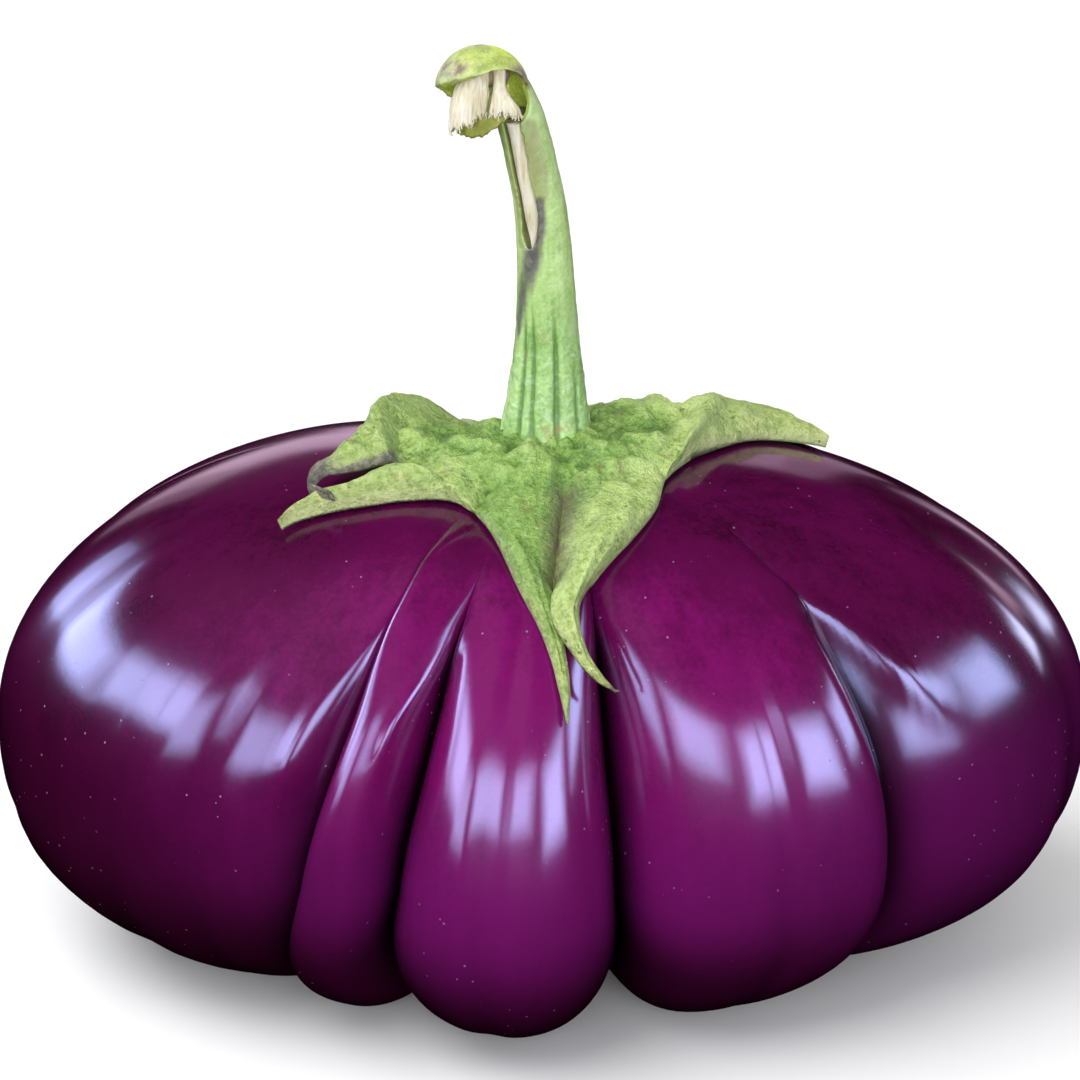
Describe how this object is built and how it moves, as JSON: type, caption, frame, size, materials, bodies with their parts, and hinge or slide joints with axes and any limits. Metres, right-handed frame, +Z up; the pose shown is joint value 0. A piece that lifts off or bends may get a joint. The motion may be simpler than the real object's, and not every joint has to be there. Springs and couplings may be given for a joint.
{
  "type": "eggplant",
  "caption": "Squat, deeply lobed purple eggplant with a green leathery calyx and a tall stem hooked over at its torn end, resting on its lobes.",
  "frame": {"origin": "on the surface it rests on, below the middle of the fruit's box seen from above", "axes": "+Z up along the stem, -Y towards the side seen in the picture, +X to the right of that side and along the fruit's longest width"},
  "size_m": [0.1515, 0.1089, 0.1307],
  "materials": {
    "skin": "smooth glossy dark purple skin, near black in the grooves, magenta streaks and fine pale specks low down",
    "calyx": "matt leathery green, bumpy, with pale yellow-green edges and brown specks",
    "stem": "satin light green bark, fluted at the foot, mottled, with brown scars near the torn end",
    "stem_wood": "dry pale cream wood with fine torn fibres"
  },
  "bodies": {
    "root": {"fruit": "skin", "calyx": "calyx", "stem": "stem", "stem_wood": "stem_wood"}
  },
  "joints": []
}
